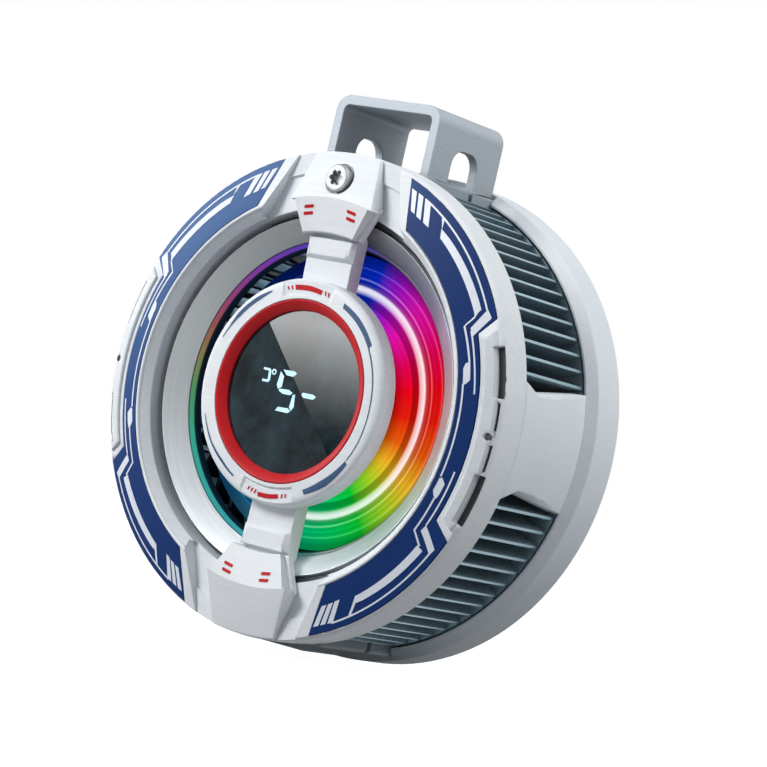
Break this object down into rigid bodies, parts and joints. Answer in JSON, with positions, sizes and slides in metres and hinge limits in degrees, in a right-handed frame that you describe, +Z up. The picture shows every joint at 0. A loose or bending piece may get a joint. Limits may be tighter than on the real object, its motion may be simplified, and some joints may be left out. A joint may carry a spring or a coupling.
{
  "type": "phone cooling fan",
  "caption": "Round phone cooler: magnetic cold plate, radial fin heat sink with a lit blower, domed front ring, temperature display on two arms and a slotted hoop on top.",
  "frame": {"origin": "centre of the cold plate's face, where the phone's back rests", "axes": "+Y out of the cold face towards the phone, front display towards -Y, +Z up to the hoop, +X to the right of the display"},
  "size_m": [0.0742, 0.0336, 0.0824],
  "materials": {
    "white_shell": "satin white",
    "silver_shell": "satin silver paint",
    "blue_inlay": "satin deep blue with white stripes",
    "grey_insert": "satin light grey",
    "dark_gasket": "matt dark grey",
    "cone_alloy": "lathe-brushed",
    "light_guide": "clear, lit by the ring light",
    "red_trim": "red satin",
    "smoked_window": "polished black",
    "dark_steel": "machined",
    "hoop_alloy": "satin",
    "fin_alloy": "stamped",
    "black_plastic": "matt black",
    "light_disc": "clear, glowing in rainbow colours",
    "blade_plastic": "satin black",
    "motor_steel": "drawn",
    "magnet": "nickel plated",
    "polished_steel": "ground",
    "bronze": "sintered",
    "lamination": "stacked sheet",
    "copper": "lacquered wire",
    "board": "green solder mask",
    "lamp": "clear resin",
    "ceramic": "white ceramic",
    "cold_alloy": "fine brushed, anodised",
    "foam": "closed-cell foam",
    "silicone": "soft-touch silicone",
    "socket_steel": "plated"
  },
  "bodies": {
    "housing": {"front_ring": "white_shell", "left_inlay": "blue_inlay", "right_inlay": "blue_inlay", "left_side_insert": "grey_insert", "right_side_insert": "grey_insert", "groove_gasket": "dark_gasket", "brushed_cone": "cone_alloy", "light_guide_ring": "light_guide", "top_pod": "white_shell", "bottom_pod": "white_shell", "hub_bridge": "white_shell", "red_bezel": "red_trim", "display_lens": "smoked_window", "pod_screw": "dark_steel", "top_front_guide": "silver_shell", "top_rear_guide": "silver_shell", "bottom_front_guide": "silver_shell", "bottom_rear_guide": "silver_shell", "radial_heatsink": "fin_alloy", "right_pillar": "silver_shell", "left_pillar": "silver_shell", "rear_shell": "silver_shell", "motor_base": "black_plastic", "front_bearing": "bronze", "rear_bearing": "bronze", "stator_core": "lamination", "stator_coils": "copper", "led_board": "board", "leds": "lamp", "display_board": "board", "digit_module": "black_plastic", "hub_back": "black_plastic", "deck_ring": "black_plastic", "thermoelectric_module": "ceramic", "cold_plate": "cold_alloy", "magnet_ring": "magnet", "insulation_ring": "foam", "contact_pad": "silicone", "control_board": "board", "usb_inlet": "socket_steel", "shell_screws": "motor_steel"},
    "rotor": {"impeller": "blade_plastic", "blade_ring": "blade_plastic", "light_disc": "light_disc", "rotor_cup": "motor_steel", "rotor_magnet": "magnet", "shaft": "polished_steel", "shaft_clip": "motor_steel"},
    "hoop": {"hoop": "hoop_alloy"}
  },
  "joints": [
    {"name": "fan_spin", "type": "hinge", "parent": "housing", "child": "rotor", "pos_m": [0, -0.0165, 0], "axis": [0, -1, 0], "continuous": true},
    {"name": "hoop_slide", "type": "slide", "parent": "housing", "child": "hoop", "axis": [0, 0, 1], "range_m": [-0.0025, 0]}
  ]
}
